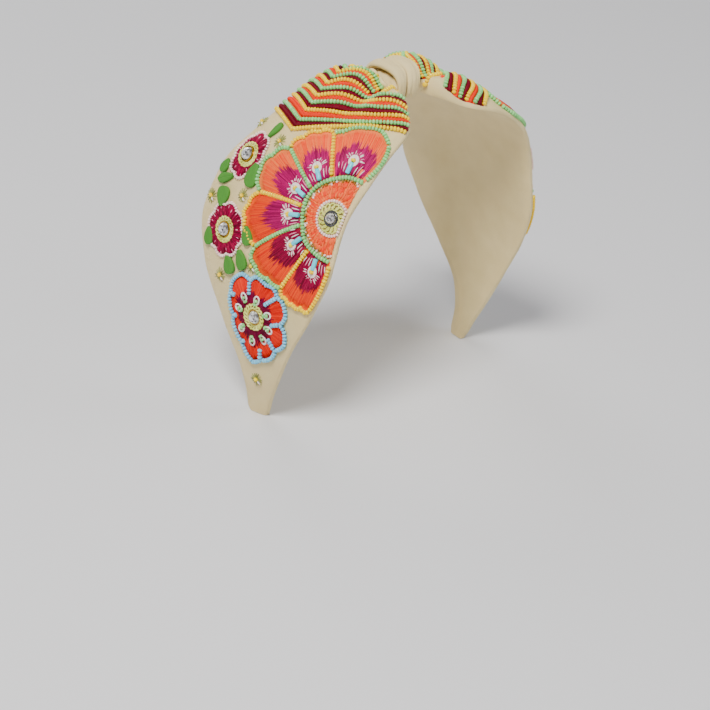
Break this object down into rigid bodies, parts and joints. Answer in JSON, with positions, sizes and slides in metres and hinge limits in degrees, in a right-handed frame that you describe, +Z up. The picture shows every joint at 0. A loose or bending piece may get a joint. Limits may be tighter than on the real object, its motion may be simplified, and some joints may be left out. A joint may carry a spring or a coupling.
{
  "type": "knotted fabric headband",
  "caption": "Stiff fabric headband: two wide padded wings, embroidered with bead trim, that narrow to plain tips and meet in a wrapped knot at the crown.",
  "frame": {"origin": "middle of the outline on the plane that the two tips stand on", "axes": "+X to the wearer's left, +Y to the back of the head, +Z up to the knot"},
  "size_m": [0.1432, 0.0788, 0.1468],
  "materials": {
    "beige_satin": "satin weave, soft sheen",
    "leaf_green": "matt, fine grain",
    "crystal_in_gold": "faceted stone in a thin gold cup"
  },
  "bodies": {
    "root": {"wing_right": "beige_satin", "wing_left": "beige_satin", "knot_wrap_right": "beige_satin", "knot_wrap_left": "beige_satin", "big_flower_stone_right": "crystal_in_gold", "big_flower_stone_left": "crystal_in_gold", "upper_flower_stone_right": "crystal_in_gold", "upper_flower_stone_left": "crystal_in_gold", "lower_flower_stone_right": "crystal_in_gold", "lower_flower_stone_left": "crystal_in_gold", "blue_flower_stone_right": "crystal_in_gold", "blue_flower_stone_left": "crystal_in_gold", "leaf_1_right": "leaf_green", "leaf_1_left": "leaf_green", "leaf_2_right": "leaf_green", "leaf_2_left": "leaf_green", "leaf_3_right": "leaf_green", "leaf_3_left": "leaf_green", "leaf_4_right": "leaf_green", "leaf_4_left": "leaf_green", "leaf_5_right": "leaf_green", "leaf_5_left": "leaf_green", "leaf_6_right": "leaf_green", "leaf_6_left": "leaf_green", "leaf_7_right": "leaf_green", "leaf_7_left": "leaf_green", "leaf_8_right": "leaf_green", "leaf_8_left": "leaf_green", "leaf_9_right": "leaf_green", "leaf_9_left": "leaf_green"}
  },
  "joints": []
}
